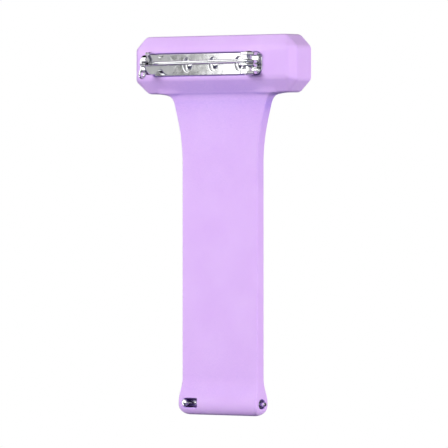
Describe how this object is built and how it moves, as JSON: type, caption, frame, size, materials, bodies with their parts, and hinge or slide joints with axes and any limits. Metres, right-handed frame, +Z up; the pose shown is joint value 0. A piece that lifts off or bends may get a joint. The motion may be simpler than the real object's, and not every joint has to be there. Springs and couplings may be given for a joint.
{
  "type": "silicone fob watch strap with brooch pin",
  "caption": "Silicone fob strap hanging from a steel brooch pin with a roll-over safety catch, and a quick-release spring bar through its lug for a watch head.",
  "frame": {"origin": "on the outer face of the brooch bar, in the middle of the strap's head, where the garment lies between the bar and the needle", "axes": "+Z up along the hanging strap, +Y from the brooch through the strap to its front, +X towards the needle's hinge"},
  "size_m": [0.0502, 0.0126, 0.0909],
  "materials": {
    "silicone": "matte lilac silicone with a soft sheen and a fine moulded grain",
    "polished_steel": "bright polished nickel-plated steel with light handling marks",
    "needle_steel": "bright drawn spring wire, polished along its length",
    "plain_steel": "plain rolled and drawn steel, satin"
  },
  "bodies": {
    "root": {"silicone_strap": "silicone", "anchor_plate": "plain_steel", "bar_rivet_1": "polished_steel", "bar_rivet_2": "polished_steel", "bar_rivet_3": "polished_steel", "brooch_bar": "polished_steel", "hinge_rivet": "polished_steel", "catch_shell": "polished_steel", "spring_bar_tube": "polished_steel", "spring_bar_fixed_tip": "polished_steel", "spring_bar_coil": "plain_steel"},
    "needle": {"pin_needle": "needle_steel"},
    "catch": {"catch_rotor": "polished_steel"},
    "release": {"quick_release_plunger": "polished_steel", "quick_release_knob": "polished_steel"}
  },
  "joints": [
    {"name": "needle_swing", "type": "hinge", "parent": "root", "child": "needle", "pos_m": [0.0133, -0.0023, 0], "axis": [0, 0, 1], "range_deg": [0, 100]},
    {"name": "catch_turn", "type": "hinge", "parent": "root", "child": "catch", "pos_m": [-0.0182, -0.003, 0.00035], "axis": [-1, 0, 0], "range_deg": [0, 100]},
    {"name": "quick_release", "type": "slide", "parent": "root", "child": "release", "axis": [1, 0, 0], "range_m": [0, 0.0016], "stiffness_N_per_m": 400, "deforming": ["spring_bar_coil"]}
  ]
}
